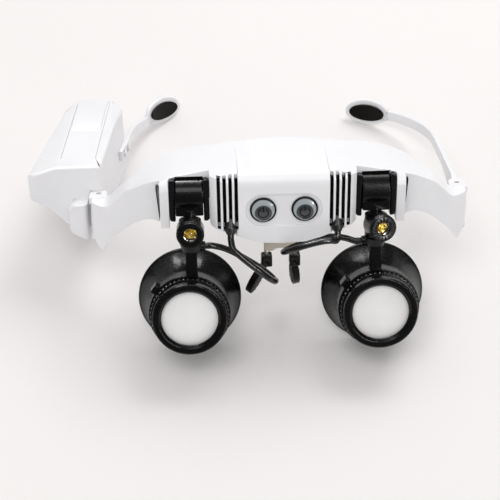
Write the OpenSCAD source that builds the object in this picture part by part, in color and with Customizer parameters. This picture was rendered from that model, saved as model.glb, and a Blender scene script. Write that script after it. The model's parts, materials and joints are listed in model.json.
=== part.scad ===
// Lighted headband magnifier: a white spectacle frame with two flip-up loupes, each with a lamp.
// Lengths are in millimetres. Left and right are the wearer's: the left side lies at +X.
// Every piece is modelled as it is worn, level, with the front facing -Y, and laid down at the end.
// Worn coordinates start between the two loupe hinges, in the plane of the hinge blocks' front.

/* [Frame] */
// Half the distance between the two temple hinge pins
hinge_x = 68.9; // [67.5:0.1:71]
// How far the temple hinge pins lie behind the front of the hinge blocks
hinge_y = 25.5; // [25:0.1:27]
// Height of the brow line at the middle of the frame
brow_h = 12.2; // [12:0.1:13.5]
// Half the width of the middle housing, between the two hinge blocks
middle_half_w = 26.4; // [26:0.1:26.6]
// How far the middle housing stands in front of the hinge blocks
middle_front = 5.7; // [5.2:0.1:7]
// How far the middle housing reaches below the hinge level
middle_drop = 15.6; // [15:0.1:18]
// Depth of the housing behind the front of the hinge blocks
housing_depth = 22; // [21.5:0.1:24]
// Thickness of the housing's front wall
front_wall = 2.2; // [1.8:0.1:2.6]
// Width of the two plates that close the notches on the outside
end_plate_w = 3.3; // [2.8:0.1:3.6]
// Lowest point of the fins under the end pieces
fin_drop = 28.2; // [27.6:0.1:30]
// Width of one ventilation slot
slot_w = 1.2; // [0.8:0.1:1.4]
// Distance from one ventilation slot to the next
slot_pitch = 2.1; // [1.9:0.1:2.2]
// Number of ventilation slots on each side
slot_count = 4; // [2:1:4]

/* [Loupe hinges] */
// Half the distance between the two loupes
loupe_x = 34; // [33.9:0.1:34.2]
// Width of a hinge block
block_w = 14.6; // [14.2:0.1:14.8]
// Height of the hinge block above the hinge level
block_up = 7.5; // [7.3:0.1:7.6]
// Height of the hinge block below the hinge level
block_down = 9; // [8.6:0.1:9.2]
// Radius of the arm's drum between the block's cheeks
drum_r = 7.9; // [7.4:0.1:7.9]
// Width of the arm's drum
drum_w = 10; // [9:0.1:10.2]
// Radius of the steel pin that the arm turns on
flip_pin_r = 1.6; // [1.2:0.1:2]
// How far the arms stand flipped forward at rest
arm_rest = 9.5; // [5:0.5:10]

/* [Lamps] */
// Outer radius of a lamp
lamp_r = 5.05; // [4.6:0.05:5.2]
// Distance of the lamp's axis below the hinge level, with the arm hanging straight
lamp_drop = 12.6; // [12.3:0.1:13]
// How far the left lamp is turned outwards at rest
lamp_turn = 12; // [0:1:15]
// Radius of the lamp's diode
led_r = 2.35; // [2.2:0.05:2.4]
// Radius of the post that the lamp turns on
post_r = 2.2; // [1.8:0.1:2.4]
// Diameter of the lamp leads
lead_d = 2.4; // [2:0.1:2.6]

/* [Loupes] */
// How far the loupe's axis lies outside the middle of its hinge
loupe_out = 1.4; // [0:0.1:2]
// Distance of the loupe's axis below the hinge level, with the arm hanging straight
loupe_drop = 45.6; // [45:0.1:50]
// Length of a loupe from its front ring to the rim of the eyecup
loupe_len = 26.4; // [26:0.1:30]
// Radius of the clear opening in the front ring
aperture_r = 10.5; // [9.5:0.1:11]
// Radius of the front lens
lens_r = 11.5; // [11.2:0.1:11.8]
// Outer radius of the front ring
front_ring_r = 13.9; // [13.6:0.1:14.2]
// Outer radius of the barrel where it turns in the arm's ring
barrel_r = 13.45; // [13.2:0.05:13.6]
// Outer radius of the arm's ring
holder_r = 15.3; // [15.1:0.1:15.8]
// Outer radius of the eyecup's rim
eyecup_r = 19.8; // [18:0.1:20]

/* [Temples] */
// Thickness of a temple
temple_t = 2; // [1.8:0.1:2.4]
// Height of a temple along its band
band_h = 4.4; // [3.8:0.1:6]
// Height of a temple at its tip
tip_h = 11.6; // [10:0.1:13]
// Height of the temples' middle line, measured from the hinge level
temple_z = -11; // [-12:0.1:-10.6]
// Radius of the left temple's bend
bend_left_r = 41; // [38:0.1:43]
// Radius of the right temple's bend
bend_right_r = 47; // [44:0.1:48]
// Radius of the temple hinge pins
hinge_pin_r = 1.1; // [0.9:0.1:1.3]
// How far the right temple's tip stands above the middle line of its band
tip_rise_right = 2.2; // [0:0.1:3]
// Length of the black oval pads at the temple tips
tip_pad_l = 16; // [13:0.5:17]
// Height of the black oval pads at the temple tips
tip_pad_h = 7.6; // [6:0.1:9]

/* [Battery case] */
// Length of the battery case
case_len = 59; // [58:0.1:61]
// Width of the battery case at its front
case_w = 28.4; // [28.2:0.1:30]
// Lowest point of the battery case, below the hinge level
case_drop = 22.8; // [22.7:0.1:24]
// Thickness of the battery case's walls
case_wall = 1.3; // [1.1:0.05:1.4]
// Width of the battery door
door_w = 13.2; // [12.4:0.1:13.4]
// Length of the battery door
door_len = 52; // [49:0.1:53]
// Radius of an AAA cell
cell_r = 5.2; // [5.1:0.05:5.2]
// Room for the springs behind the cells
spring_room = 3.25; // [3:0.05:3.6]

/* [Nose rest] */
// Half the distance between the two clips of the nose pads
clip_x = 5.4; // [5.2:0.1:6]
// Length of a nose pad
pad_len = 12.5; // [11:0.1:13]
// Width of a nose pad
pad_w = 7.4; // [6:0.1:8]

/* [Hidden] */
$fn = 48;

white = "#e9e9ee";
black = "#1b1b1d";
steel = "#b9b6b0";
clear = [0.85, 0.92, 0.95, 0.35];

// Clearances: a turning fit, a fixed pin, a sliding part, and two parts that only stand side by side
turn_gap = 0.05;
fixed_gap = 0.02;
slide_gap = 0.2;
side_gap = 0.3;

hinge_plate_r = 3.3;
knuckle_r = 3;

// The loupe hinge's axis, seen from the side: [y, z]
flip_axis = [6.7, -0.7];
notch_y = 2.8;
// The blocks' cheeks are this much lower behind the notch, so that the brow covers them
block_step = 1.4;
block_half = block_w / 2;
drum_channel = drum_w + 2 * 0.15;
block_depth = flip_axis[0] + drum_r + 2.6;
cheek_floor = flip_axis[0] + drum_r + side_gap;
block_edge_r = 1.2;
notch_in = loupe_x - block_half - side_gap / 3;
notch_out = loupe_x + block_half + side_gap / 3;
plate_out = notch_out + end_plate_w;

// Points that repeat a shape: an arc, a smooth line through hand-chosen points, a rounded rectangle
function arc(c, r, a0, a1, n) = [for (i = [0:n]) c + r * [cos(a0 + (a1 - a0) * i / n),
    sin(a0 + (a1 - a0) * i / n)]];
function blend_point(a, b, c, d, t) = 0.5 * (2 * b + (c - a) * t
    + (2 * a - 5 * b + 4 * c - d) * t * t + (3 * b - a - 3 * c + d) * t * t * t);
function smooth_line(p, n) = [for (i = [0:len(p) - 2], k = [0:n - 1])
    blend_point(p[max(i - 1, 0)], p[i], p[i + 1], p[min(i + 2, len(p) - 1)], k / n),
    p[len(p) - 1]];
function rounded_box(w, h, r, n = 6) = concat(
    arc([w / 2 - r, h / 2 - r], r, 0, 90, n), arc([-w / 2 + r, h / 2 - r], r, 90, 180, n),
    arc([-w / 2 + r, -h / 2 + r], r, 180, 270, n), arc([w / 2 - r, -h / 2 + r], r, 270, 360, n));
function mirrored_list(p) = [for (i = [len(p) - 1:-1:0]) [-p[i][0], p[i][1]]];
function rotated(v, a) = [v[0] * cos(a) - v[1] * sin(a), v[0] * sin(a) + v[1] * cos(a)];

// Places on an arm, with the arm hanging straight: [y] or [z] in worn coordinates
post_y = 1.5;
lamp_flat = 0.15;
tongue_low = lamp_r + side_gap - lamp_flat - lamp_drop;
tongue_front = post_y - post_r + 0.3;
lamp_gap = 0.15;
collar_top = -lamp_drop - lamp_r - lamp_gap;
collar_r = 4.3;
collar_low = collar_top - 3.6;
relief_z = collar_top - 1.6;
relief_len = 5.3;
loupe_front_y = -6;
holder_y0 = loupe_front_y + 6;
holder_y1 = loupe_front_y + 12;
stem_w = 4.2;
stem_t = 3.2;

// Places on the battery case, seen from above: its inner front corner and its ends
case_front_y = hinge_y + 1.5;
case_rear_y = case_front_y + case_len;
case_in_x = 1.3 - hinge_x;
case_out_x = case_in_x - case_w;
case_rear_in = [case_in_x + 5.9, case_rear_y - 0.6];
case_low = -case_drop;

// How the object lies on a table: on the eyecups' rims and on the temples' tips. tip_contact is where
// on its oval outline the right tip touches the table
function tip_turn(r) = (tip_pad_l / 2 + tip_rim) / r * 180 / PI;
right_arc_start = [case_rear_in[0] + temple_t / 2 + 0.2, case_rear_y - 4.5];
right_sweep = 57;
left_arc_start_y = 73.5;
left_sweep = 79;
temple_left_x = hinge_x + 0.7;
cup_rim = [loupe_front_y + loupe_len - flip_axis[0], -loupe_drop - eyecup_r - flip_axis[1]];
cup_low = flip_axis + rotated(cup_rim, -arm_rest);
tip_rim = 2;
tip_contact = 60;
right_tip_turn = right_sweep - tip_turn(bend_right_r);
tip_low = [right_arc_start[1] + (bend_right_r + temple_t / 2) * sin(right_tip_turn)
    + (tip_pad_l / 2 + tip_rim) * cos(right_tip_turn) * cos(tip_contact),
    temple_z + tip_rise_right - tip_h / 2 * sin(tip_contact)];
rest_pitch = atan2(tip_low[1] - cup_low[1], tip_low[0] - cup_low[0]);
lift = -rotated(cup_low, -rest_pitch)[1];
// Middle of the whole object's plan, which becomes the origin: half way from the left hinge to the
// battery case, and from the left loupe's front ring to the right temple's tip
ring_low = flip_axis + rotated([loupe_front_y, 0.3 - loupe_drop - front_ring_r] - flip_axis, -arm_rest);
tip_rear = [tip_low[0] + 3, temple_z + tip_rise_right + 1.1];
middle_x = (hinge_x + hinge_plate_r + case_out_x + 0.5) / 2;
middle_y = (rotated(ring_low, -rest_pitch)[0] + rotated(tip_rear, -rest_pitch)[0]) / 2;

module laid_down() {
    translate([-middle_x, -middle_y, lift]) rotate([-rest_pitch, 0, 0]) children();
}
module on_side(s) {
    if (s > 0) children();
    else mirror([1, 0, 0]) children();
}
// Runs a plan upwards, a front view to the back and a side view across
module from_plan(z0, z1) { translate([0, 0, z0]) linear_extrude(z1 - z0) children(); }
module from_front(y0, y1) { translate([0, y1, 0]) rotate([90, 0, 0]) linear_extrude(y1 - y0) children(); }
module from_side(x0, x1) {
    translate([x0, 0, 0]) rotate([90, 0, 90]) linear_extrude(x1 - x0) children();
}
module rod_y(r, y0, y1) { translate([0, y0, 0]) rotate([-90, 0, 0]) cylinder(r = r, h = y1 - y0); }
module rod_x(r, x0, x1) { translate([x0, 0, 0]) rotate([0, 90, 0]) cylinder(r = r, h = x1 - x0); }

// The frame's outlines
wing_tilt = 5;
end_out = hinge_x + 3.1;
end_top = -9.9;
end_front = hinge_y - 3.8;
brow_line = smooth_line([[0, brow_h], [11, brow_h - 0.5], [22, brow_h - 1.7], [34, brow_h - 3.7],
    [41, brow_h - 5.1], [46, brow_h - 6.7], [49.5, brow_h - 8.2], [54, brow_h - 10.9], [hinge_x - 11.8, -0.8],
    [hinge_x - 8.8, -3.9], [hinge_x - 6.3, -7], [hinge_x - 3.8, -9.3], [hinge_x - 1.3, end_top],
    [end_out, end_top]], 4);
plate_drop = 11.1;
wing_under = smooth_line([[plate_out, -10.6], [hinge_x - 19.9, -10.2], [hinge_x - 15.9, -11.9],
    [hinge_x - 11.9, -15], [hinge_x - 8.4, -18.6], [hinge_x - 4.6, -22.8],
    [hinge_x - 1.9, 1.2 - fin_drop], [hinge_x - 0.7, -fin_drop], [hinge_x + 0.9, 1.2 - fin_drop],
    [hinge_x + 2.4, -23.5], [end_out, -19]], 4);
frame_front = concat([[0, -middle_drop]], [[8, 0.4 - middle_drop], [13, 1.9 - middle_drop],
    [17.5, 3.6 - middle_drop], [22, -10.6], [middle_half_w, -9.4], [notch_in, -block_down],
    [notch_out, -block_down], [notch_out, -plate_drop], [plate_out, -plate_drop]], wing_under,
    [for (i = [len(brow_line) - 2:-1:0]) brow_line[i]]);
middle_plan = [[0, -middle_front], [19, -middle_front], [22.5, 0.5 - middle_front],
    [24.8, 1.7 - middle_front], [middle_half_w, 3.7 - middle_front]];
wing_plan = smooth_line([[plate_out, 3.4], [50, 5.2], [55, 7.6], [60, 10.3], [65, 13.2],
    [hinge_x + 0.1, 16], [hinge_x + 2.1, 18], [end_out, end_front - 1.6]], 4);
back_plan = concat(smooth_line([[end_out, end_front], [hinge_x - 3.3, end_front], [63, 20.2],
    [58, 18.2], [53, 18.4], [48, housing_depth - 1], [42, housing_depth + 1],
    [35, housing_depth + 2], [28, housing_depth + 1.2], [25, housing_depth]], 3), [[0, housing_depth]]);
frame_plan = concat(middle_plan, [[middle_half_w, -0.5], [plate_out, -0.5]], wing_plan, back_plan);
// Side view of the middle housing: a flat front that rounds over into the brow
middle_side = concat([[-middle_front, -middle_drop - 2], [-middle_front, 6.2]],
    smooth_line([[-middle_front, 6.2], [0.5 - middle_front, 8.6], [2.4 - middle_front, 10.8],
    [5.6 - middle_front, 12.4], [9.5 - middle_front, 13.4], [18 - middle_front, 14.4],
    [30, 15.2]], 4), [[30, -middle_drop - 2]]);
// Side view of the wings and end plates, whose front edge is lower
outer_side = concat([[-0.5, -fin_drop - 4], [-0.5, 3]], smooth_line([[-0.5, 3], [0.2, 5],
    [1.4, 6.8], [notch_y, 8.2], [8, 10.5], [16, 13], [34, 16]], 3), [[34, -fin_drop - 4]]);

// Outer edge of the slits beside the end plates: widest near the top, and drawn in downwards
slit_line = smooth_line([[plate_out, 3.6], [plate_out + 0.45, 4.5], [plate_out + 1, 4.5],
    [plate_out + 1.35, 3.6], [plate_out + 1.3, 1.5], [plate_out + 0.95, -3], [plate_out + 0.55, -8],
    [plate_out + 0.3, -14], [plate_out + 0.2, -20]], 3);

// Hollow of the middle housing, with its rear opening
hollow_half_w = middle_half_w - 2;
hollow_up = 9;
hollow_down = 8.4;
hollow_front = front_wall - middle_front;
cover_t = 2;
cover_screw_at = [[21, 6.2], [-21, 6.2], [21, -5.6], [-21, -5.6]];
boss_r = 2.5;
cover_screw_r = 1.1;
screw_head_r = 2.1;
screw_head_h = 1.3;

// Buttons
button_x = 7.5;
button_z = -2.8;
button_r = 4.15;
bezel_r = 4.75;
button_travel = 0.6;
panel_depth = 0.8;
panel_floor = panel_depth - middle_front;
panel_size = [27.6, 12.4];

// Circuit board on two bosses between the buttons
board_y = hollow_front + 6.4;
board_t = 1.6;
board_boss_z = [5.2, -6.2];
board_boss_r = 2;
board_half_w = 15;
board_gap = [0.8, 2.2];

// Ventilation slots: the outermost is the shortest
slot_in_x = 17.1;
slot_bottom = -10;
slot_tops = [13.6, 13.6, 13.6, 10];

// Wire grommets in the housing's lower front edge
grommet_at = [19.4, -middle_front + 0.6, -9.8];
grommet_tilt = 32;
grommet_r = 2;
grommet_flange_r = 2.4;
grommet_len = 2.4;

module grommet_place(s) {
    on_side(s) translate(grommet_at) rotate([-grommet_tilt, 0, 0]) children();
}

module frame_shell_solid() {
    difference() {
        intersection() {
            rotate([wing_tilt, 0, 0]) from_front(-20, 50)
                polygon(concat(frame_front, mirrored_list(frame_front)));
            from_plan(-40, 30) polygon(concat(frame_plan, mirrored_list(frame_plan)));
            union() {
                from_side(-notch_out, notch_out) polygon(middle_side);
                for (s = [1, -1]) on_side(s) from_side(notch_out - 0.01, end_out + 1) polygon(outer_side);
            }
        }
        // notches that hold the hinge blocks, and the slits outside the end plates
        for (s = [1, -1]) on_side(s) {
            translate([notch_in, -20, -20]) cube([notch_out - notch_in, 20 + notch_y, 60]);
            translate([notch_in, -20, -40])
                cube([notch_out - notch_in, 20 + block_depth + 0.1, 40 + block_up - block_step + 0.1]);
            translate([loupe_x - drum_channel / 2, 0, -20])
                cube([drum_channel, block_depth + 0.1, 20 + block_up + 0.1]);
            from_front(-2, 7) polygon(concat(slit_line, [[plate_out, -20]]));
        }
        // hollow for the electronics, open to the back
        difference() {
            translate([-hollow_half_w, hollow_front, -hollow_down])
                cube([2 * hollow_half_w, 40, hollow_up + hollow_down]);
            for (p = cover_screw_at) {
                translate([p[0], 0, p[1]]) rod_y(boss_r, 10, housing_depth - cover_t);
                translate([p[0] > 0 ? p[0] : p[0] - 6, 10, p[1] - boss_r])
                    cube([6, housing_depth - cover_t - 10, 2 * boss_r]);
            }
            for (z = board_boss_z) translate([0, 0, z]) rod_y(board_boss_r, hollow_front - 1, board_y);
        }
        for (p = cover_screw_at) translate([p[0], 0, p[1]])
            rod_y(cover_screw_r + fixed_gap, housing_depth - 9, housing_depth);
        for (z = board_boss_z) translate([0, 0, z])
            rod_y(0.9 + fixed_gap, board_y - 5, board_y + 1);
        // recess and holes of the buttons
        from_front(-middle_front - 1, panel_floor) translate([0, button_z])
            polygon(rounded_box(panel_size[0], panel_size[1], panel_size[1] / 2 - 0.1, 10));
        for (s = [1, -1]) translate([s * button_x, 0, button_z])
            rod_y(bezel_r + fixed_gap, -middle_front - 1, hollow_front + 1);
        // ventilation slots
        for (s = [1, -1], i = [0:slot_count - 1]) on_side(s)
            translate([slot_in_x + i * slot_pitch - slot_w / 2, -middle_front - 1, slot_bottom])
                cube([slot_w, front_wall + 1.6 + (i < slot_count - 1 ? 0 : 0.6), slot_tops[i] - slot_bottom]);
        for (s = [1, -1]) grommet_place(s) {
            cylinder(r = grommet_r + fixed_gap, h = 6);
            translate([0, 0, -8]) cylinder(r = grommet_flange_r + fixed_gap, h = 8);
        }
        // clearance for the temples' knuckles, holes of the block screws, slot of the nose bracket
        for (s = [1, -1]) on_side(s) {
            translate([hinge_x, hinge_y, -50]) cylinder(r = knuckle_r + 0.4, h = 90);
            for (z = block_screw_z) translate([loupe_x, 0, z]) {
                rod_y(cover_screw_r + fixed_gap, block_depth - 1, 40);
                rod_y(screw_head_r + fixed_gap, block_screw_seat, 40);
            }
        }
        translate([-bracket_half_w - slide_gap, bracket_y - slide_gap, -40])
            cube([2 * (bracket_half_w + slide_gap), bracket_t + 2 * slide_gap, 40 - hollow_down - 1.2]);
        for (s = [1, -1]) translate([s * bracket_screw_x, 0, bracket_screw_z]) {
            rod_y(0.9 + fixed_gap, bracket_y - 3, 40);
            rod_y(1.5 + fixed_gap, bracket_head_y, 40);
        }
    }
}

module hinge_plates(s) {
    on_side(s) difference() {
        for (z = [plate_top_z, plate_low_z]) translate([0, 0, z]) {
            translate([hinge_x, hinge_y, 0]) cylinder(r = hinge_plate_r, h = hinge_plate_t);
            translate([hinge_x - hinge_plate_r, end_front - 1, 0])
                cube([2 * hinge_plate_r, hinge_y - end_front + 1, hinge_plate_t]);
        }
        translate([hinge_x, hinge_y, -40]) cylinder(r = hinge_pin_r + fixed_gap, h = 60);
    }
}

hinge_plate_t = 2.6;
plate_top_z = -10.6;
plate_low_z = -25.4;
knuckle_low = plate_low_z + hinge_plate_t + side_gap;
knuckle_high = plate_top_z - side_gap;
block_screw_z = [4, -5.4];
block_screw_seat = housing_depth - 1.5;
bracket_y = 14;
bracket_t = 1.2;
bracket_half_w = 6.4;
bracket_top = -hollow_down - 1.4;

module frame_shell() {
    color(white) laid_down() union() {
        frame_shell_solid();
        hinge_plates(1);
        hinge_plates(-1);
    }
}

module rear_cover() {
    color(white) laid_down() difference() {
        translate([-hollow_half_w + slide_gap, housing_depth - cover_t, -hollow_down + slide_gap])
            cube([2 * (hollow_half_w - slide_gap), cover_t, hollow_up + hollow_down - 2 * slide_gap]);
        for (p = cover_screw_at) translate([p[0], 0, p[1]]) {
            rod_y(cover_screw_r + fixed_gap, 0, 50);
            rod_y(screw_head_r + fixed_gap, housing_depth - screw_head_h, 50);
        }
    }
}

// A countersunk screw along +Y with its head's top at y
module screw(y, length) {
    difference() {
        union() {
            rod_y(cover_screw_r, y - length, y - screw_head_h + 0.1);
            rod_y(screw_head_r, y - screw_head_h, y);
        }
        translate([-1.4, y - 0.6, -0.3]) cube([2.8, 1, 0.6]);
        translate([-0.3, y - 0.6, -1.4]) cube([0.6, 1, 2.8]);
    }
}

module cover_screws() {
    color(steel) laid_down() for (p = cover_screw_at) translate([p[0], 0, p[1]]) screw(housing_depth, 8);
}

module circuit_board() {
    color("#1f6b3a") laid_down() difference() {
        translate([-board_half_w, board_y, -hollow_down + board_gap[0]])
            cube([2 * board_half_w, board_t, hollow_up + hollow_down - board_gap[0] - board_gap[1]]);
        for (z = board_boss_z) translate([0, 0, z]) rod_y(0.9 + fixed_gap, 0, 30);
    }
}

module board_screws() {
    color(steel) laid_down() for (z = board_boss_z) translate([0, 0, z]) union() {
        rod_y(0.9, board_y - 4, board_y + board_t + 0.1);
        rod_y(1.7, board_y + board_t, board_y + board_t + 1);
    }
}

module switch_bodies() {
    color("#2b2b2d") laid_down() for (s = [1, -1]) translate([s * button_x, 0, button_z]) union() {
        translate([-3, board_y - 3.4, -3]) cube([6, 3.4, 6]);
        rod_y(1.6, board_y - 4.6, board_y - 3.3);
    }
}

module button_bezels() {
    color(black) laid_down() for (s = [1, -1]) translate([s * button_x, 0, button_z]) difference() {
        rod_y(bezel_r, panel_floor - 0.7, hollow_front);
        rod_y(button_r + 0.15, -20, 20);
    }
}

module button_cap(s) {
    cap_rear = board_y - 4.6 - button_travel - 0.1;
    color("#7d8488") laid_down() translate([s * button_x, 0, button_z]) union() {
        intersection() {
            rod_y(button_r, panel_floor - 1.6, hollow_front + 0.5);
            translate([0, panel_floor - 1.6 + 12, 0]) sphere(r = 12, $fn = 64);
        }
        rod_y(button_r + 0.8, hollow_front + 0.1, hollow_front + 0.9);
        rod_y(1.7, hollow_front + 0.5, cap_rear);
    }
}

module wire_grommets() {
    color(black) laid_down() for (s = [1, -1]) grommet_place(s) union() {
            cylinder(r = grommet_r, h = 3.4);
            translate([0, 0, -grommet_len])
                cylinder(r1 = lead_d / 2 + 0.15, r2 = grommet_flange_r, h = grommet_len);
        }
}

// Nose rest: a steel plate with two bent arms, a clip on each, and a rubber pad that rocks in the clip
clip_low = -35.6;
clip_high = -31.1;
clip_half = [2.1, 2.2];
clip_y = bracket_y + bracket_t / 2;
wire_r = 0.8;
wire_depth = 0.7;
rock_z = -33.6;
tab_r = 1.2;
tab_half = 0.9;
rock_pin_r = 0.7;
pad_t = 2.6;
pad_top = -3;
pad_splay = [2, 27];
pad_yaw = [10, -30];
pad_lean = [36, 0];
bracket_foot = -29.8;
bracket_screw_x = 4;
bracket_screw_z = -11;
bracket_head_y = bracket_y + 4.6;

bracket_half = [[0, bracket_foot + 1.5], [1.6, bracket_foot + 1.3], [3.2, bracket_foot + 0.3],
    [bracket_half_w - 1.8, bracket_foot], [bracket_half_w, bracket_foot], [bracket_half_w, bracket_top]];

module nose_bracket() {
    color(steel) laid_down() union() {
        from_front(bracket_y, bracket_y + bracket_t) difference() {
            polygon(concat(bracket_half, mirrored_list(bracket_half)));
            for (s = [1, -1]) translate([s * bracket_screw_x, bracket_screw_z]) circle(r = 0.9 + fixed_gap);
        }
        for (s = [1, -1]) translate([s * clip_x, clip_y, clip_high - wire_depth + 0.05])
            cylinder(r = wire_r, h = bracket_foot - clip_high + wire_depth + 0.6);
    }
}

module nose_bracket_screws() {
    color(steel) laid_down() for (s = [1, -1]) translate([s * bracket_screw_x, 0, bracket_screw_z]) union() {
        rod_y(0.9, bracket_y - 3, bracket_head_y + 0.1);
        rod_y(1.5, bracket_head_y, bracket_head_y + 1.2);
    }
}

module nose_clips() {
    color(black) laid_down() for (s = [1, -1]) translate([s * clip_x, clip_y, 0]) difference() {
        from_plan(clip_low, clip_high) polygon(rounded_box(2 * clip_half[0], 2 * clip_half[1], 0.7, 3));
        translate([0, 0, clip_high - wire_depth]) cylinder(r = wire_r + fixed_gap, h = 5);
        translate([-5, -tab_half - 0.15, clip_low - 1])
            cube([10, 2 * tab_half + 0.3, rock_z + tab_r + 0.2 - clip_low + 1]);
        translate([0, 0, rock_z]) rod_y(rock_pin_r + turn_gap, -5, 5);
    }
}

module nose_pad(s) {
    k = s > 0 ? 0 : 1;
    color("#2a2a2c") laid_down() translate([s * clip_x, clip_y, rock_z])
        rotate([0, -s * pad_splay[k], 0]) union() {
            rod_y(rock_pin_r, -clip_half[1] + 0.1, clip_half[1] - 0.1);
            rod_y(tab_r, -tab_half, tab_half);
            translate([-tab_r, -tab_half, pad_top - 1]) cube([2 * tab_r, 2 * tab_half, 1 - pad_top]);
            translate([0, 0, pad_top]) rotate([pad_lean[k], 0, 0]) translate([0, 0, -pad_len / 2])
                rotate([0, 90, pad_yaw[k]]) translate([0, 0, -pad_t / 2]) linear_extrude(pad_t)
                    polygon(ellipse(pad_len / 2, pad_w / 2, 32));
        }
}
function ellipse(a, b, n) = [for (i = [0:n - 1]) [a * cos(360 * i / n), b * sin(360 * i / n)]];

module hinge_block(s) {
    color(black) laid_down() on_side(s) difference() {
        translate([loupe_x, 0, (block_up - block_down) / 2]) from_front(0, block_depth)
            polygon(rounded_box(block_w, block_up + block_down, block_edge_r));
        translate([loupe_x - block_half - 1, notch_y - side_gap / 2, block_up - block_step])
            cube([block_w + 2, block_depth, block_step + 1]);
        translate([loupe_x - drum_channel / 2, -1, -30]) cube([drum_channel, cheek_floor + 1, 60]);
        translate([0, flip_axis[0], flip_axis[1]]) rod_x(flip_pin_r + fixed_gap, loupe_x - 20, loupe_x + 20);
        for (z = block_screw_z) translate([loupe_x, 0, z]) rod_y(cover_screw_r + fixed_gap, 0, 60);
    }
}

module block_screws() {
    color(steel) laid_down() for (s = [1, -1], z = block_screw_z) on_side(s) translate([loupe_x, 0, z])
        screw(block_screw_seat + screw_head_h, block_screw_seat + screw_head_h - cheek_floor - 0.2);
}

module flip_pin(s) {
    color(steel) laid_down() on_side(s) translate([0, flip_axis[0], flip_axis[1]])
        rod_x(flip_pin_r, loupe_x - block_half + 0.2, loupe_x + block_half - 0.2);
}

// Pieces on an arm are drawn with the arm hanging straight down, and then flipped to rest
module on_arm(s) {
    laid_down() on_side(s) translate([loupe_x, flip_axis[0], flip_axis[1]]) rotate([-arm_rest, 0, 0])
        translate([0, -flip_axis[0], -flip_axis[1]]) children();
}

latch_size = [3.4, 4.6, 2.6];
latch_turn = 52;

module arm(s) {
    color(black) on_arm(s) difference() {
        union() {
            translate([0, flip_axis[0], flip_axis[1]]) rod_x(drum_r, -drum_w / 2, drum_w / 2);
            translate([-drum_w / 2, tongue_front, tongue_low])
                cube([drum_w, flip_axis[0] - tongue_front, flip_axis[1] - tongue_low]);
            translate([0, post_y, collar_low]) cylinder(r = post_r, h = tongue_low - collar_low + 2);
            translate([0, post_y, collar_low]) cylinder(r1 = collar_r - 1.2, r2 = collar_r,
                h = collar_top - collar_low);
            translate([-stem_w / 2, post_y - stem_t / 2, -loupe_drop + barrel_r + 1])
                cube([stem_w, stem_t, loupe_drop - barrel_r - 1 + collar_low + 1]);
            translate([loupe_out, 0, -loupe_drop]) rod_y(holder_r, holder_y0, holder_y1);
            translate([0, post_y, relief_z]) rod_x(lead_d / 2 + 0.55, -collar_r - 1, 0);
        }
        translate([0, flip_axis[0], flip_axis[1]]) rod_x(flip_pin_r + turn_gap, -20, 20);
        translate([loupe_out, 0, -loupe_drop]) rod_y(barrel_r + turn_gap, -20, 40);
        latch_place(s) latch_box(fixed_gap);
    }
}

// The latch sits at the upper left of both loupes, as seen from the front
module latch_place(s) {
    translate([loupe_out, (holder_y0 + holder_y1) / 2, -loupe_drop]) rotate([0, s * -latch_turn, 0])
        translate([0, 0, holder_r - 1]) children();
}
module latch_box(gap) {
    translate([-latch_size[0] / 2 - gap, -latch_size[1] / 2 - gap, -gap])
        cube([latch_size[0] + 2 * gap, latch_size[1] + 2 * gap, latch_size[2]]);
}
module lens_latch(s) {
    color(black) on_arm(s) latch_place(s) latch_box(0);
}

// Lamps turn on the arm's post: the left one stands turned outwards
module on_lamp(s) {
    on_arm(s) translate([0, post_y, 0]) rotate([0, 0, s > 0 ? lamp_turn : 0])
        translate([0, -post_y, -lamp_drop]) children();
}

lamp_front = -7.4;
bezel_y = lamp_front + 1.5;
led_seat = -1.5;
// The lamp ends this far above its own axis, just under the arm's drum
lamp_neck = lamp_drop + flip_axis[1] - drum_r - side_gap;
led_hole_r = led_r + 0.12;

module lamp_shell(s) {
    color(black) on_lamp(s) difference() {
        union() {
            rod_y(lamp_r, bezel_y, post_y - 0.6);
            translate([0, post_y, -lamp_r + lamp_flat]) cylinder(r = 4, h = lamp_r - lamp_flat + lamp_neck);
        }
        rod_y(lamp_r - 1.1, lamp_front - 1, led_seat);
        translate([0, post_y, -10]) cylinder(r = post_r + turn_gap, h = 20);
        translate([-10, -10, lamp_r - lamp_flat]) cube([20, 20, 3]);
        translate([-10, -10, -lamp_r + lamp_flat - 3]) cube([20, 20, 3]);
    }
}

module lamp_bezel(s) {
    color(black) on_lamp(s) difference() {
        union() {
            rod_y(lamp_r - 0.5, lamp_front, bezel_y);
            rod_y(lamp_r, lamp_front + 0.7, bezel_y);
        }
        rod_y(led_hole_r, -20, 20);
    }
}

module led_holder(s) {
    color("#c8c8cc") on_lamp(s) difference() {
        rod_y(lamp_r - 1.1 - fixed_gap, bezel_y, led_seat);
        rod_y(led_r + fixed_gap, -20, 20);
        rod_y(led_r + 0.45, led_seat - 1, 20);
    }
}

module led(s) {
    color(clear) on_lamp(s) difference() {
        union() {
            rod_y(led_r, lamp_front + led_r - 0.5, led_seat);
            translate([0, lamp_front + led_r - 0.5, 0]) sphere(r = led_r);
            rod_y(led_r + 0.4, led_seat - 0.95, led_seat);
        }
        rod_y(1.2, -3.9, -3.1);
    }
}

module led_chip(s) {
    color("#e0b020") on_lamp(s) rod_y(1.2 - fixed_gap, -3.9, -3.1);
}

// Pieces of a loupe are drawn along +Y, with the front ring's face at y = 0 and the axis at z = 0
module on_loupe(s) {
    on_arm(s) translate([loupe_out, loupe_front_y, -loupe_drop]) children();
}

front_ring_t = 1.6;
bead_y = 3.8;
lens_seat_y = 4.4;
barrel_end = 15.4;
neck_r = 12.2;
rear_lens_r = 8.6;
rear_seat_y = 11;

module revolved(profile) { rotate([-90, 0, 0]) rotate_extrude($fn = 96) polygon(profile); }

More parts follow.
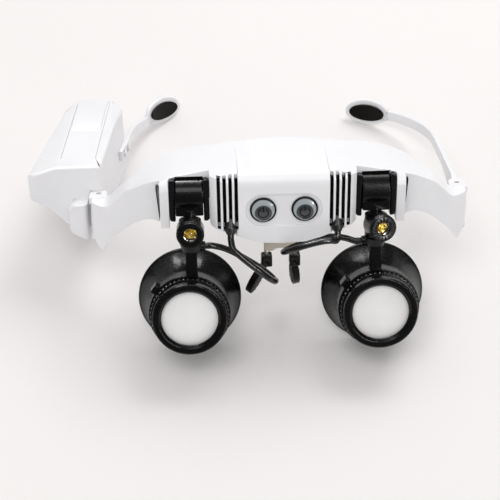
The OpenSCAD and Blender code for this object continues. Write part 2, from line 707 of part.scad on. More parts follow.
module lens_barrel(s) {
    color(black) on_loupe(s) revolved([[lens_r + fixed_gap, front_ring_t], [front_ring_r - 0.9, front_ring_t],
        [front_ring_r - 0.9, bead_y], [holder_r - 0.7, bead_y], [holder_r - 0.7, 6 - side_gap],
        [barrel_r, 6 - side_gap], [barrel_r, 12 + side_gap], [neck_r, 12 + side_gap],
        [neck_r, barrel_end], [rear_lens_r + fixed_gap, barrel_end], [rear_lens_r + fixed_gap, rear_seat_y],
        [rear_lens_r - 1, rear_seat_y], [rear_lens_r - 1, rear_seat_y - 1.5],
        [lens_r - 1.2, lens_seat_y + 2], [lens_r - 1.2, lens_seat_y], [lens_r + fixed_gap, lens_seat_y]]);
}

module front_ring(s) {
    color(black) on_loupe(s) revolved([[aperture_r, 0], [front_ring_r - 0.5, 0], [front_ring_r, 0.5],
        [front_ring_r, bead_y - 0.02], [front_ring_r - 0.9 + fixed_gap, bead_y - 0.02],
        [front_ring_r - 0.9 + fixed_gap, front_ring_t - fixed_gap], [aperture_r, front_ring_t - fixed_gap]]);
}

// A lens between y0 and y1 at its edge, whose two faces bulge as parts of a ball
module bulging_lens(r, y0, y1, ball) {
    edge = asin(r / ball);
    front = arc([0, y0 + ball * cos(edge)], ball, 270, 270 + edge, 8);
    rear = arc([0, y1 - ball * cos(edge)], ball, 90 - edge, 90, 8);
    revolved(concat(front, rear));
}

module front_lens(s) {
    color(clear) on_loupe(s) bulging_lens(lens_r, lens_seat_y - 1.8, lens_seat_y - 0.2, 90);
}

module rear_lens(s) {
    color(clear) on_loupe(s) bulging_lens(rear_lens_r, rear_seat_y + 0.2, rear_seat_y + 2, 50);
}

cup_front = 12 + side_gap;
cup_wall = 1.4;
cup_waist_r = (holder_r + eyecup_r) / 2 - 0.35;
module eyecup(s) {
    outer = smooth_line([[holder_r - 1.1, cup_front + 0.6], [holder_r - 0.9, cup_front + 2.6],
        [holder_r + 0.1, cup_front + 5.2], [cup_waist_r, loupe_len - 5],
        [eyecup_r - 0.9, loupe_len - 2.2], [eyecup_r, loupe_len - 1.2],
        [eyecup_r, loupe_len]], 4);
    inner = smooth_line([[neck_r - 1.2, barrel_end + 0.05], [neck_r + 0.2, cup_front + 5.4],
        [cup_waist_r - cup_wall - 0.4, loupe_len - 4.6], [eyecup_r - cup_wall - 0.4, loupe_len - 1.2],
        [eyecup_r - cup_wall - 0.2, loupe_len]], 4);
    color(black) on_loupe(s) revolved(concat([[neck_r + fixed_gap, barrel_end + 0.05],
        [neck_r + fixed_gap, cup_front + 0.01], [holder_r - 1.7, cup_front + 0.01]], outer,
        [for (i = [len(inner) - 1:-1:0]) inner[i]]));
}

// Temples
tip_pad_t = 1;
function left_path(a) = [temple_left_x - bend_left_r * (1 - cos(a)), left_arc_start_y + bend_left_r * sin(a)];
function right_path(a) = [right_arc_start[0] + bend_right_r * (1 - cos(a)),
    right_arc_start[1] + bend_right_r * sin(a)];

// The last part of a temple, seen along the normal of its tip: an oval paddle
module tip_window(p, dir, z, length, h) {
    translate([p[0], p[1], z]) rotate([0, 0, dir]) rotate([90, 0, 0])
        translate([0, 0, -12]) linear_extrude(24) polygon(ellipse(length / 2, h / 2, 40));
}

// A band of thickness t that follows a bend from p to the side s, shifted outwards from its middle line
module bend_band(p, r, sweep, s, t, h, shift = 0) {
    c = [p[0] - s * r, p[1]];
    outer = arc(c, r + shift + t / 2, 0, sweep, 24);
    inner = arc(c, r + shift - t / 2, 0, sweep, 24);
    pts = concat(outer, [for (i = [len(inner) - 1:-1:0]) inner[i]]);
    from_plan(temple_z - h / 2, temple_z + h / 2) polygon([for (q = pts) [c[0] + s * (q[0] - c[0]), q[1]]]);
}
function band_sweep(r, sweep) = sweep - 2 * tip_turn(r) + tip_rim / r * 180 / PI;
function tip_z(s) = s > 0 ? temple_z : temple_z + tip_rise_right;
function tip_place(r, sweep, s) = s > 0 ? left_path(sweep - tip_turn(r)) : right_path(sweep - tip_turn(r));
function tip_dir(r, sweep, s) = s > 0 ? sweep - tip_turn(r) - 90 : 90 - (sweep - tip_turn(r));

module temple_tip(p, r, sweep, s) {
    intersection() {
        bend_band(p, r, sweep + 4, s, temple_t, tip_h + 5);
        tip_window(tip_place(r, sweep, s), tip_dir(r, sweep, s), tip_z(s), tip_pad_l + 2 * tip_rim, tip_h);
    }
}

module tip_pad(p, r, sweep, s) {
    intersection() {
        bend_band(p, r, sweep + 4, s, tip_pad_t, tip_h + 5, -(temple_t + tip_pad_t) / 2);
        tip_window(tip_place(r, sweep, s), tip_dir(r, sweep, s), tip_z(s), tip_pad_l, tip_pad_h);
    }
}

module temple_knuckle(s) {
    on_side(s) translate([hinge_x, hinge_y, knuckle_low]) difference() {
        union() {
            cylinder(r = knuckle_r, h = knuckle_high - knuckle_low);
            translate([-0.7, 0, 0]) cube([2.8, 6, knuckle_high - knuckle_low]);
        }
        translate([0, 0, -1]) cylinder(r = hinge_pin_r + turn_gap, h = 40);
    }
}

root_y = hinge_y + 3.9;
root_len = 30;

module temple_left() {
    color(white) laid_down() union() {
        temple_knuckle(1);
        // root: tall at the hinge and drawn in to the band's height
        intersection() {
            translate([temple_left_x - temple_t / 2, root_y, -40]) cube([temple_t, root_len, 60]);
            from_side(0, 100) polygon(concat(smooth_line([[root_y, knuckle_low],
                [root_y + 4, knuckle_low + 1.2], [root_y + 0.4 * root_len, temple_z - band_h / 2 - 2.6],
                [root_y + 22, temple_z - band_h / 2 - 0.4], [root_y + root_len, temple_z - band_h / 2]], 5),
                [[root_y + root_len, temple_z + band_h / 2], [root_y + 6, temple_z + band_h / 2],
                [root_y, knuckle_high]]));
        }
        translate([temple_left_x - temple_t / 2, root_y + root_len - 1, temple_z - band_h / 2])
            cube([temple_t, left_arc_start_y - root_y - root_len + 1, band_h]);
        bend_band([temple_left_x, left_arc_start_y], bend_left_r, band_sweep(bend_left_r, left_sweep), 1,
            temple_t, band_h);
        temple_tip([temple_left_x, left_arc_start_y], bend_left_r, left_sweep, 1);
    }
}

// The right temple starts with a plate that is riveted to the inner side of the battery case
function case_wall_x(y) = case_in_x + (y - case_front_y) * (case_rear_in[0] - case_in_x)
    / (case_rear_in[1] - case_front_y);
plate_start = case_rear_y - 18;
plate_end = case_rear_y - 2;
band_in_x = right_arc_start[0] + temple_t / 2;
rivet_r = 0.8;
rivet_head = 0.5;
rivet_y = [plate_start + 3, plate_start + 9];
plate_t = 1.6;
function plate_face_x(y) = case_wall_x(plate_start) + plate_t + (y - plate_start)
    * (band_in_x - case_wall_x(plate_start) - plate_t) / (right_arc_start[1] - 1 - plate_start);

module temple_right() {
    color(white) laid_down() difference() {
        union() {
            from_plan(temple_z - band_h / 2, temple_z + band_h / 2) polygon([
                [case_wall_x(plate_start) + fixed_gap, plate_start],
                [plate_face_x(plate_start), plate_start], [band_in_x, right_arc_start[1] - 1],
                [band_in_x, plate_end], [case_wall_x(plate_end) + fixed_gap, plate_end]]);
            bend_band(right_arc_start, bend_right_r, band_sweep(bend_right_r, right_sweep), -1,
                temple_t, band_h);
            temple_tip(right_arc_start, bend_right_r, right_sweep, -1);
        }
        for (y = rivet_y) translate([0, y, temple_z]) rod_x(rivet_r + fixed_gap, -80, -40);
    }
}

module temple_rivets() {
    color(white) laid_down() for (y = rivet_y) translate([0, y, temple_z]) union() {
        rod_x(rivet_r, case_wall_x(y) - case_wall, plate_face_x(y) + side_gap + 0.1);
        rod_x(rivet_r + 0.7, plate_face_x(y) + side_gap, plate_face_x(y) + side_gap + rivet_head);
    }
}

module temple_pad_left() {
    color(black) laid_down() tip_pad([temple_left_x, left_arc_start_y], bend_left_r, left_sweep, 1);
}
module temple_pad_right() {
    color(black) laid_down() tip_pad(right_arc_start, bend_right_r, right_sweep, -1);
}

module temple_pin(s) {
    color(steel) laid_down() on_side(s) translate([hinge_x, hinge_y, plate_low_z + 0.4])
        cylinder(r = hinge_pin_r, h = plate_top_z + hinge_plate_t - plate_low_z - 0.6);
}

// The battery case: outlines, and the frames of its top, its shoulder and its cells
function unit(v) = v / norm(v);
function edge_meet(a, b, c, e) = let (u = unit(b - a), v = unit(c - b), n = [-u[1], u[0]], m = [-v[1], v[0]])
    b + e * (n + m) / (1 + n * m);
function shrunk(p, e) = [for (i = [0:len(p) - 1])
    edge_meet(p[(i + len(p) - 1) % len(p)], p[i], p[(i + 1) % len(p)], e)];
function softened(p, d, n) = [for (i = [0:len(p) - 1])
    let (b = p[i], a = p[(i + len(p) - 1) % len(p)], c = p[(i + 1) % len(p)],
        s = b + d[i] * unit(a - b), e = b + d[i] * unit(c - b))
    for (k = [0:n]) (1 - k / n) * (1 - k / n) * s + 2 * k / n * (1 - k / n) * b + k * k / (n * n) * e];

case_plan = [[case_in_x, case_front_y], case_rear_in, [case_in_x - 6, case_rear_y + 2],
    [case_out_x + 11.2, case_rear_y - 5.5], [case_out_x, case_front_y]];
case_corners = [0.6, 2.5, 3, 5, 3];
case_section = [[case_in_x + 8, case_low], [case_in_x + 8, 0.5], [case_in_x + 5.5, 3.4],
    [case_in_x + 2.8, 5.6], [case_in_x + 1, 7.2], [case_in_x + 1, 16], [case_out_x - 4, 16],
    [case_out_x - 4, -9.4], [case_out_x + 1.9, -11.4], [case_out_x + 7.4, -14.9],
    [case_out_x + 11.9, -19.5], [case_out_x + 16.3, case_low]];
case_top_at = [case_in_x - 9.4, case_front_y, 2.2];
case_top_turn = 3.5;
case_slope = 4.85;
shoulder_drop = 17;
case_roof = 2.95;
cell_turn = atan2(case_rear_in[0] - case_in_x, case_rear_in[1] - case_front_y);

module on_case_top() {
    translate(case_top_at) rotate([0, 0, -case_top_turn]) rotate([case_slope, 0, 0]) children();
}
module on_cells() {
    translate([case_in_x, case_front_y, 0]) rotate([0, 0, -cell_turn]) children();
}
// Everything above the case's top and shoulder, lowered by t
module above_case(t, shoulder_t) {
    on_case_top() {
        translate([-60, -60, -t]) cube([120, 200, 60]);
        translate([-door_w / 2 - 1.3, 0, -shoulder_t]) rotate([0, -shoulder_drop, 0])
            translate([-60, -60, 0]) cube([60, 200, 60]);
    }
}

door_t = 1.6;
rail_w = 0.9;
rail_t = 0.8;
door_start = 7.5;
door_lip = 0.15;
hollow_y0 = 4.15;
case_end_t = 6.4;
hollow_y1 = case_len - case_end_t;
lug_w = 7.4;

module battery_case() {
    color(white) laid_down() union() {
        difference() {
            intersection() {
                from_plan(-40, 30) polygon(softened(case_plan, case_corners, 4));
                from_front(0, 120) polygon(case_section);
            }
            above_case(0, 0);
            // room for the cells
            difference() {
                intersection() {
                    from_plan(-40, 30) polygon(shrunk(case_plan, case_wall));
                    from_front(0, 120) polygon(shrunk(case_section, case_wall));
                    on_cells() translate([-60, hollow_y0, -60]) cube([90, hollow_y1 - hollow_y0, 120]);
                }
                above_case(case_roof, case_wall + 0.3);
            }
            // door opening, with a groove on each side for the door's rails
            on_case_top() {
                translate([-door_w / 2 - door_lip, door_start - slide_gap, -door_t - door_lip])
                    cube([door_w + 2 * door_lip, 90, 20]);
                translate([-door_w / 2 - rail_w - door_lip, door_start - slide_gap, -door_t - door_lip])
                    cube([door_w + 2 * rail_w + 2 * door_lip, 90, rail_t + 2 * door_lip]);
                translate([-door_w / 2 + 0.6, door_start + 1, -12]) cube([door_w - 1.2, 42, 20]);
            }
            // room for the frame's hinge plates, and for the pins and rivets
            translate([-hinge_x, hinge_y, case_low - 5])
                cylinder(r = hinge_plate_r + 0.4, h = plate_top_z + hinge_plate_t + side_gap - case_low + 5);
            for (y = rivet_y) translate([0, y, temple_z]) rod_x(rivet_r + fixed_gap, -80, -50);
        }
        temple_knuckle(-1);
        // rounded lug beside the hinge
        intersection() {
            translate([-hinge_x - 4.3 - lug_w / 2, hinge_y + 1, 0])
                from_plan(-40, 0) polygon(rounded_box(lug_w, 10, 2.6, 4));
            from_front(0, 60) polygon([[-hinge_x - 4.3, -26.6], [-hinge_x - 4.3, -11.5],
                [-hinge_x - 9.5, -11.5], [-hinge_x - 11.7, -13.5], [-hinge_x - 11.7, -22.4]]);
        }
    }
}

// The door: rails along both sides, and a raised pad behind the dip for the thumb
module battery_door() {
    color(white) laid_down() on_case_top() union() {
        translate([-door_w / 2, door_start, -door_t]) cube([door_w, door_len, door_t]);
        translate([-door_w / 2 - rail_w, door_start, -door_t]) cube([door_w + 2 * rail_w, door_len, rail_t]);
        translate([0, door_start, 0]) from_side(-door_w / 2 + 0.8, door_w / 2 - 0.8)
            polygon([[21, -0.1], [24, 0.2], [30, 1.1], [door_len - 4, 1.1], [door_len - 1.5, 0.5],
            [door_len - 1.5, -0.1]]);
    }
}

cell_pitch = 2 * cell_r + 0.1;
cell_in_x = -case_wall - cell_r - 0.35;
cell_low_z = case_low + case_wall + cell_r + 0.15;
cells_at = [[cell_in_x, cell_low_z], [cell_in_x, cell_low_z + cell_pitch],
    [cell_in_x - cell_pitch * cos(30), cell_low_z + cell_pitch / 2]];
contact_t = 0.35;
nub_len = 0.9;
cell_y0 = hollow_y0 + contact_t;
cell_y1 = hollow_y1 - contact_t - spring_room;
spring_r = 2.1;
spring_wire = 0.35;
spring_turns = 3;

module battery_cells() {
    color("#3f7f5f") laid_down() on_cells() for (c = cells_at) translate([c[0], 0, c[1]]) union() {
        rod_y(1.9, cell_y0, cell_y0 + nub_len + 0.1);
        rod_y(cell_r, cell_y0 + nub_len, cell_y1);
    }
}

module battery_contacts() {
    color(steel) laid_down() on_cells() union() {
        for (c = cells_at) translate([c[0], 0, c[1]]) {
            rod_y(3, hollow_y0, hollow_y0 + contact_t);
            rod_y(3, hollow_y1 - contact_t, hollow_y1);
        }
    }
}

// Each spring is one open helix of spring_turns turns from a cell's end to the contact behind it
function helix(turns, r, length, n) = [for (i = [0:turns * n]) [r * cos(360 * i / n),
    i / (turns * n) * length, r * sin(360 * i / n)]];

module battery_springs() {
    path = helix(spring_turns, spring_r, hollow_y1 - contact_t - cell_y1 - 2 * spring_wire, 10);
    color(steel) laid_down() on_cells() for (c = cells_at) translate([c[0], cell_y1 + spring_wire, c[1]])
        polyhedron(points = swept_points(path, spring_wire, 5), faces = swept_faces(len(path), 5));
}

// Lamp leads: round tubes swept along hand-chosen points, each from its arm's relief to its grommet
function ring_at(p, t, r, n) = let (u = unit(cross(t, [0.15, 1, 0.1])), v = cross(t, u))
    [for (i = [0:n - 1]) p + r * (cos(360 * i / n) * u + sin(360 * i / n) * v)];
function swept_points(path, r, n) = [for (i = [0:len(path) - 1])
    each ring_at(path[i], unit(path[min(i + 1, len(path) - 1)] - path[max(i - 1, 0)]), r, n)];
function swept_faces(m, n) = concat(
    [for (i = [1:n - 2]) [0, i + 1, i]],
    [for (i = [1:n - 2]) [(m - 1) * n, (m - 1) * n + i, (m - 1) * n + i + 1]],
    [for (i = [0:m - 2], k = [0:n - 1]) let (a = i * n + k, b = i * n + (k + 1) % n)
        each [[a, b, b + n], [a, b + n, a + n]]]);
function pitched(p, a) = let (q = flip_axis + rotated([p[1], p[2]] - flip_axis, -a)) [p[0], q[0], q[1]];
function grommet_point(s, d) = [s * grommet_at[0], grommet_at[1] - d * sin(grommet_tilt),
    grommet_at[2] - d * cos(grommet_tilt)];
function relief_point(s, d) = pitched([s * (loupe_x - relief_len - d), post_y, relief_z], arm_rest);

// Each route starts and ends straight, square to what it leaves and enters
lead_start = [0, 1.2, 2.4];
lead_end = [1.6, 0.8, 0];
lead_route_right = concat([for (d = lead_start) relief_point(-1, d)], [[-23, -0.6, -19.6],
    [-19.5, 0.2, -21.6], [-16, 0.6, -24], [-12.4, 0.8, -26.6], [-9, 0.6, -29], [-6, -0.4, -31.1],
    [-4, -2.4, -32.2], [-3.2, -5, -32], [-3.8, -7.8, -30.6], [-5.6, -9.8, -28.4], [-8.4, -10.6, -25.6],
    [-11.4, -10.8, -22.8], [-14.4, -10.8, -20], [-17, -10.4, -17.6], [-18.8, -9.6, -15.8]],
    [for (d = lead_end) grommet_point(-1, grommet_len + d)]);
lead_route_left = concat([for (d = lead_start) relief_point(1, d)], [[23.4, -1, -17.4],
    [20.4, -0.4, -17], [17.4, 0, -17], [14.4, 0.2, -17.4], [11.4, 0.2, -18.2], [8, 0, -19.2],
    [4.6, -0.4, -20.2], [1.8, -1.6, -20.8], [0.2, -3.8, -20.6], [-0.2, -6.4, -19.4],
    [1, -8.8, -17.8], [3.6, -10.4, -16.2], [7, -11, -14.8], [10.4, -11.1, -13.8],
    [13.8, -10.8, -13.3], [16.6, -10.2, -13.4], [18.6, -9.2, -14]],
    [for (d = lead_end) grommet_point(1, grommet_len + d)]);

module lamp_lead(route) {
    path = smooth_line(route, 2);
    color(black) laid_down() polyhedron(points = swept_points(path, lead_d / 2, 8),
        faces = swept_faces(len(path), 8));
}

frame_shell();
rear_cover();
cover_screws();
circuit_board();
board_screws();
switch_bodies();
button_bezels();
button_cap(1);  // button_cap_left
button_cap(-1);  // button_cap_right
wire_grommets();
nose_bracket();
nose_bracket_screws();
nose_clips();
nose_pad(1);  // nose_pad_left
nose_pad(-1);  // nose_pad_right
hinge_block(1);  // hinge_block_left
hinge_block(-1);  // hinge_block_right
block_screws();
flip_pin(1);  // flip_pin_left
flip_pin(-1);  // flip_pin_right
arm(1);  // arm_left
arm(-1);  // arm_right
lens_latch(1);  // lens_latch_left
lens_latch(-1);  // lens_latch_right
lamp_shell(1);  // lamp_shell_left
lamp_shell(-1);  // lamp_shell_right
lamp_bezel(1);  // lamp_bezel_left
lamp_bezel(-1);  // lamp_bezel_right
led_holder(1);  // led_holder_left
led_holder(-1);  // led_holder_right
led(1);  // led_left
led(-1);  // led_right
led_chip(1);  // led_chip_left
led_chip(-1);  // led_chip_right
lens_barrel(1);  // lens_barrel_left
lens_barrel(-1);  // lens_barrel_right
front_ring(1);  // front_ring_left
front_ring(-1);  // front_ring_right
front_lens(1);  // front_lens_left
front_lens(-1);  // front_lens_right
rear_lens(1);  // rear_lens_left
rear_lens(-1);  // rear_lens_right
eyecup(1);  // eyecup_left
eyecup(-1);  // eyecup_right
temple_left();
temple_right();
temple_pad_left();
temple_pad_right();
temple_pin(1);  // temple_pin_left
temple_pin(-1);  // temple_pin_right
battery_case();
battery_door();
battery_cells();
battery_springs();
battery_contacts();
temple_rivets();
lamp_lead(lead_route_left);  // lamp_lead_left
lamp_lead(lead_route_right);  // lamp_lead_right
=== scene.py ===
import json
import math

import bmesh
import bpy
from mathutils import Matrix, Vector
from mathutils.bvhtree import BVHTree


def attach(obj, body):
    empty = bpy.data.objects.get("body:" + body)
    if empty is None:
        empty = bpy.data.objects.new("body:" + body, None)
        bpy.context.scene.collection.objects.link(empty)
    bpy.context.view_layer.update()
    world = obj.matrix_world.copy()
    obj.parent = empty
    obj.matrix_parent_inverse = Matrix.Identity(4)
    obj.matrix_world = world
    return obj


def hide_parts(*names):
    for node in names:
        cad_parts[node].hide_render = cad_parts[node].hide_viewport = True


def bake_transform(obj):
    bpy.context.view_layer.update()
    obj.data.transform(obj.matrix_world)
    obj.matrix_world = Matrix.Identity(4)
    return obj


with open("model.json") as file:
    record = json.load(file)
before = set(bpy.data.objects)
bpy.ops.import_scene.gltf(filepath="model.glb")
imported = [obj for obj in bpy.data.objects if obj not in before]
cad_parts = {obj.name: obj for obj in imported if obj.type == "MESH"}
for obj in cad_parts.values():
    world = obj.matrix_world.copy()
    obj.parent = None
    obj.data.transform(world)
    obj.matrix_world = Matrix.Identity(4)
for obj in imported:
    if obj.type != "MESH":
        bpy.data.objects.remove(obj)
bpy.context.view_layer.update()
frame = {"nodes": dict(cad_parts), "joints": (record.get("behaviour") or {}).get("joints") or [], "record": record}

# Places on the object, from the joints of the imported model. Every piece is modelled in millimetres
MM = 0.001
ROUNDING = math.radians(30)

joints = {joint["name"]: joint for joint in frame["joints"]}
body_of = {node: body for body, nodes in frame["record"]["behaviour"]["bodies"].items() for node in nodes}
slot_of = {part["node"]: part["material_slot"] for part in frame["record"]["subparts"]}


def place(at, across, inward, upward):
    """A frame in millimetres at a point, turned to three directions."""
    turn = Matrix((across, inward, upward)).transposed().to_4x4()
    return Matrix.Translation(at) @ turn @ Matrix.Scale(MM, 4)


# The frame as it is worn: across to the wearer's left, inward to the back, upward
FLIP_PIN = (34, 6.7, -0.7)
across = Vector((1, 0, 0))
inward = Vector(joints["button_left_press"]["axis"]).normalized()
upward = across.cross(inward)
pin = FLIP_PIN[0] * across + FLIP_PIN[1] * inward + FLIP_PIN[2] * upward
WORN = place(Vector(joints["arm_left_flip"]["pos_m"]) - pin * MM, across, inward, upward)

# A loupe's front ring begins this far in front of the arm's ring, where the twist joint is
RING_TO_FACE = 6
POST_TO_LAMP = 1.5
LAMP_TURN = {"left": math.radians(12), "right": 0.0}


def on_loupe(side):
    """A loupe's own frame: Y runs from its front ring's face to the eye."""
    joint = joints[f"loupe_{side}_twist"]
    axis = Vector(joint["axis"]).normalized()
    face = Vector(joint["pos_m"]) - RING_TO_FACE * MM * axis
    return place(face, across, axis, across.cross(axis))


def on_lamp(side):
    """A lamp's own frame: -Y is where it shines, and Z is its post."""
    joint = joints[f"lamp_{side}_swivel"]
    post = Vector(joint["axis"]).normalized()
    ahead = post.cross(across)
    turn = Matrix.Rotation(LAMP_TURN[side], 3, post)
    at = Vector(joint["pos_m"]) - turn @ ahead * POST_TO_LAMP * MM
    return place(at, turn @ across, turn @ ahead, post)


# Camera, fitted to the photograph. Its focal length is in pixels of the picture's width
PHOTO_WIDTH = 500
FOCAL_PIXELS = 1201.2
CAMERA_AT = Vector((-0.01566, -0.30841, 0.40147))
CAMERA_LOOKS_AT = Vector((0.00042, -0.02475, 0.02))
CAMERA_ROLL = math.radians(0.684)

lens = bpy.data.cameras.new("camera")
lens.sensor_width = 36
lens.lens = lens.sensor_width * FOCAL_PIXELS / PHOTO_WIDTH
camera = bpy.data.objects.new("camera", lens)
bpy.context.scene.collection.objects.link(camera)
camera.location = CAMERA_AT
look = (CAMERA_LOOKS_AT - CAMERA_AT).to_track_quat("-Z", "Y")
camera.rotation_mode = "QUATERNION"
camera.rotation_quaternion = look @ Matrix.Rotation(CAMERA_ROLL, 3, "Z").to_quaternion()
bpy.context.scene.camera = camera


# Materials
class Finish:
    """A material whose colour, roughness and bump vary over the piece."""

    def __init__(self, name):
        self.material = bpy.data.materials.new(name)
        self.material.use_nodes = True
        self.nodes = self.material.node_tree.nodes
        self.links = self.material.node_tree.links
        self.shader = self.nodes["Principled BSDF"]
        self.coords = self.nodes.new("ShaderNodeTexCoord").outputs["Object"]

    def join(self, output, socket):
        self.links.new(output, socket)

    def noise(self, size_mm, detail=3.0, stretch=None, source=None):
        noise = self.nodes.new("ShaderNodeTexNoise")
        noise.inputs["Scale"].default_value = 1000.0 / size_mm
        noise.inputs["Detail"].default_value = detail
        coords = source or self.coords
        if stretch:
            mapping = self.nodes.new("ShaderNodeMapping")
            mapping.inputs["Scale"].default_value = stretch
            self.join(coords, mapping.inputs["Vector"])
            coords = mapping.outputs["Vector"]
        self.join(coords, noise.inputs["Vector"])
        return noise.outputs["Fac"]

    def ramp(self, value, low, high, from_low=0.35, from_high=0.65):
        spread = self.nodes.new("ShaderNodeMapRange")
        spread.inputs["From Min"].default_value = from_low
        spread.inputs["From Max"].default_value = from_high
        spread.inputs["To Min"].default_value = low
        spread.inputs["To Max"].default_value = high
        self.join(value, spread.inputs["Value"])
        return spread.outputs["Result"]

    def mix(self, value, first, second):
        mix = self.nodes.new("ShaderNodeMix")
        mix.data_type = "RGBA"
        self.join(value, mix.inputs["Factor"])
        for colour, socket in ((first, mix.inputs["A"]), (second, mix.inputs["B"])):
            if isinstance(colour, tuple):
                socket.default_value = (*colour, 1)
            else:
                self.join(colour, socket)
        return mix.outputs["Result"]

    def colour(self, value):
        if isinstance(value, tuple):
            self.shader.inputs["Base Color"].default_value = (*value, 1)
        else:
            self.join(value, self.shader.inputs["Base Color"])

    def roughness(self, value):
        self.join(value, self.shader.inputs["Roughness"])

    def bump(self, height, depth_mm, strength=0.3):
        bump = self.nodes.new("ShaderNodeBump")
        bump.inputs["Strength"].default_value = strength
        bump.inputs["Distance"].default_value = depth_mm * MM
        self.join(height, bump.inputs["Height"])
        self.join(bump.outputs["Normal"], self.shader.inputs["Normal"])

    def set(self, **values):
        for name, value in values.items():
            self.shader.inputs[name.replace("_", " ")].default_value = value


def moulded(name, dark, light, rough, patch_mm, grain_mm, depth_mm, **values):
    """Moulded plastic or rubber: faint patches of colour, and a fine grain in gloss and height."""
    finish = Finish(name)
    patches = finish.ramp(finish.noise(patch_mm, 2.0), 0.0, 1.0)
    grain = finish.noise(grain_mm, 4.0)
    finish.colour(finish.mix(patches, dark, light))
    finish.roughness(finish.ramp(grain, rough[0], rough[1]))
    finish.bump(grain, depth_mm)
    finish.set(**values)
    return finish.material


def brushed(name, dark, light, rough, stretch):
    """Metal with fine parallel strokes."""
    finish = Finish(name)
    strokes = finish.noise(0.35, 5.0, stretch)
    finish.colour(finish.mix(finish.ramp(strokes, 0.0, 1.0), dark, light))
    finish.roughness(finish.ramp(strokes, rough[0], rough[1]))
    finish.bump(strokes, 0.01)
    finish.set(Metallic=1.0)
    return finish.material


white_plastic = moulded(
    "white_plastic", (0.86, 0.858, 0.88), (0.88, 0.878, 0.90), (0.34, 0.40), 14, 1.1, 0.002,
    Coat_Weight=0.1, Coat_Roughness=0.2,
)
black_plastic = moulded(
    "black_plastic", (0.0012, 0.0012, 0.0014), (0.0022, 0.0022, 0.0024), (0.2, 0.3), 6, 0.5, 0.006,
    Specular_IOR_Level=0.22, Coat_Weight=0.12, Coat_Roughness=0.08,
)
knob_black = moulded(
    "knob_black", (0.002, 0.002, 0.002), (0.004, 0.004, 0.004), (0.14, 0.22), 4, 0.5, 0.002,
    Specular_IOR_Level=1.0,
)
# Painted shade: a near-black for white walls and hidden screens that lie in shade
painted_shade_black = moulded(
    "painted_shade_black", (0.004, 0.004, 0.004), (0.008, 0.008, 0.008), (0.75, 0.9), 4, 0.6, 0.01,
    Specular_IOR_Level=0.1,
)
black_rubber = moulded(
    "black_rubber", (0.002, 0.002, 0.002), (0.004, 0.004, 0.0038), (0.36, 0.46), 5, 0.45, 0.01,
    Specular_IOR_Level=0.6,
)
lead_jacket = moulded(
    "lead_jacket", (0.002, 0.002, 0.002), (0.004, 0.004, 0.004), (0.2, 0.3), 5, 0.6, 0.006,
    Specular_IOR_Level=0.35, Coat_Weight=0.3, Coat_Roughness=0.1,
)
pad_rubber = moulded(
    "pad_rubber", (0.003, 0.002, 0.0015), (0.006, 0.0045, 0.0035), (0.3, 0.4), 3, 0.4, 0.02,
    Specular_IOR_Level=0.16,
)
steel = brushed("steel", (0.50, 0.49, 0.47), (0.66, 0.65, 0.63), (0.18, 0.34), (1, 6, 6))
satin_steel = brushed("satin_steel", (0.52, 0.47, 0.40), (0.66, 0.61, 0.54), (0.35, 0.5), (1, 8, 8))
lamp_reflector = brushed("lamp_reflector", (0.72, 0.72, 0.74), (0.86, 0.86, 0.88), (0.05, 0.16), (1, 1, 1))
board_green = moulded(
    "board_green", (0.012, 0.10, 0.035), (0.03, 0.17, 0.06), (0.25, 0.4), 1.2, 0.6, 0.03,
)
led_phosphor = moulded(
    "led_phosphor", (0.55, 0.36, 0.02), (1.0, 0.78, 0.12), (0.15, 0.3), 0.9, 0.25, 0.02,
    Metallic=0.5, Coat_Weight=0.6,
)


def clear_epoxy():
    """The diode's dome, nearly all clear."""
    finish = Finish("led_clear")
    swirl = finish.noise(0.8, 2.0)
    finish.colour((0.2, 0.2, 0.18))
    finish.roughness(finish.ramp(swirl, 0.02, 0.06))
    finish.bump(swirl, 0.01)
    finish.set(Alpha=0.06, Specular_IOR_Level=1.0)
    return finish.material


def glass_painted_backdrop():
    """Lens glass as the photograph shows it: an even pale grey with a soft sheen. The opaque pale colour is
    painted light, standing in for the pale floor seen through clear glass.
    """
    finish = Finish("lens_glass")
    haze = finish.noise(9, 1.0)
    finish.colour(finish.mix(finish.ramp(haze, 0.0, 1.0), (0.93, 0.92, 0.91), (0.96, 0.955, 0.95)))
    finish.roughness(finish.ramp(haze, 0.03, 0.07))
    finish.set(Specular_IOR_Level=0.4, Coat_Weight=0.3, Coat_Roughness=0.02)
    return finish.material


def bowl_painted_reflection():
    """A polished bowl that mirrors the golden die in patches: the gold patches are painted reflection of the die,
    silver between them.
    """
    finish = Finish("reflection_painted_bowl")
    patches = finish.noise(1.4, 1.0)
    # Gold patches: painted reflection of the golden die; silver elsewhere
    finish.colour(finish.mix(finish.ramp(patches, 0.0, 1.0, 0.45, 0.55), (0.62, 0.40, 0.04), (0.90, 0.90, 0.88)))
    finish.roughness(finish.ramp(patches, 0.08, 0.16))
    finish.bump(patches, 0.05)
    finish.set(Metallic=1.0)
    return finish.material


def cell_jacket_finish():
    """Cells in a plain jacket with one lighter band at each end."""
    finish = Finish("cell_jacket")
    grain = finish.noise(0.8, 3.0)
    split = finish.nodes.new("ShaderNodeSeparateXYZ")
    finish.join(finish.coords, split.inputs["Vector"])
    finish.colour(finish.mix(finish.ramp(split.outputs["Y"], 0.0, 1.0, 0.020, 0.021),
                             (0.04, 0.17, 0.11), (0.60, 0.58, 0.50)))
    finish.roughness(finish.ramp(grain, 0.2, 0.32))
    finish.bump(grain, 0.01)
    return finish.material


led_clear = clear_epoxy()
# The lens is opaque: its pale colour is painted light for the floor seen through it
lens_glass = glass_painted_backdrop()
reflection_painted_bowl = bowl_painted_reflection()
cell_jacket = cell_jacket_finish()

